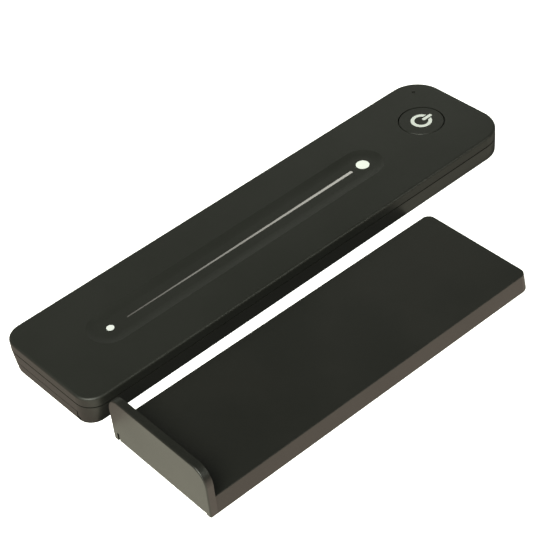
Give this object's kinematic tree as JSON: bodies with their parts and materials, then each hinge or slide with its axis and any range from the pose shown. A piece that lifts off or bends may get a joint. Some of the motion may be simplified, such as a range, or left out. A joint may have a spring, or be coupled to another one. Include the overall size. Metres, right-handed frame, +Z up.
{
  "type": "touch dimmer remote control with wall holder",
  "caption": "Slim handheld remote with a touch slider channel and a round power key, beside its flat wall holder with an end lip.",
  "frame": {"origin": "on the surface both pieces rest on, below the middle of the pair", "axes": "+X along the holder from its lip towards its free end, +Y from the holder towards the remote, +Z up; the remote lies turned 0.75 degrees about +Z with its power key towards +X"},
  "size_m": [0.1506, 0.0804, 0.0143],
  "materials": {
    "case_top_plastic": "soft matte, very fine grain",
    "case_bottom_plastic": "matte, fine spark-eroded grain",
    "door_plastic": "matte, fine spark-eroded grain",
    "key_plastic": "soft matte with a printed power symbol",
    "silicone": "translucent grey silicone rubber",
    "spring_steel": "thin pressed spring steel",
    "board_laminate": "green solder mask over glass-epoxy laminate",
    "copper_foil": "copper foil",
    "conductive_foam": "conductive foam",
    "cell_steel": "nickel-plated steel can",
    "plated_spring": "nickel-plated spring strip",
    "chip_epoxy": "moulded black epoxy",
    "crystal_can": "metal lid on ceramic",
    "capacitor_ceramic": "tan ceramic with tinned ends",
    "resistor_ceramic": "black resistor film with tinned ends",
    "antenna_ceramic": "white ceramic",
    "led_resin": "clear resin on white",
    "light_acrylic": "smoked clear acrylic",
    "screw_steel": "black zinc plating",
    "plate_steel": "zinc-plated sheet steel",
    "holder_plastic": "matte, fine grain",
    "wall_plate_plastic": "matte",
    "print_ink": "white printed ink",
    "magnet_nickel": "nickel plating"
  },
  "bodies": {
    "wall_plate": {"wall_plate": "wall_plate_plastic"},
    "holder_cover": {"holder_cover": "holder_plastic", "holder_magnets": "magnet_nickel"},
    "remote": {"top_case": "case_top_plastic", "bottom_case": "case_bottom_plastic", "case_screws": "screw_steel", "circuit_board": "board_laminate", "touch_electrode": "copper_foil", "electrode_contacts": "conductive_foam", "key_pad": "silicone", "snap_dome": "spring_steel", "coin_cell": "cell_steel", "positive_contact": "plated_spring", "negative_contact": "plated_spring", "controller_chip": "chip_epoxy", "radio_chip": "chip_epoxy", "crystal": "crystal_can", "chip_capacitors": "capacitor_ceramic", "chip_resistors": "resistor_ceramic", "antenna": "antenna_ceramic", "status_led": "led_resin", "light_pipe": "light_acrylic", "steel_plates": "plate_steel"},
    "power_key": {"power_key": "key_plastic"},
    "battery_door": {"battery_door": "door_plastic"}
  },
  "joints": [
    {"name": "cover_lift", "type": "slide", "parent": "wall_plate", "child": "holder_cover", "axis": [0, 0, 1], "range_m": [0, 0.02]},
    {"name": "remote_lift", "type": "slide", "parent": "wall_plate", "child": "remote", "axis": [0, 0, 1], "range_m": [0, 0.04]},
    {"name": "power_key_press", "type": "slide", "parent": "remote", "child": "power_key", "axis": [0, 0, -1], "range_m": [0, 0.0003], "stiffness_N_per_m": 5000, "deforming": ["snap_dome", "key_pad"]},
    {"name": "battery_door_slide", "type": "slide", "parent": "remote", "child": "battery_door", "axis": [-0.9999, -0.0131, 0], "range_m": [0, 0.04]}
  ]
}
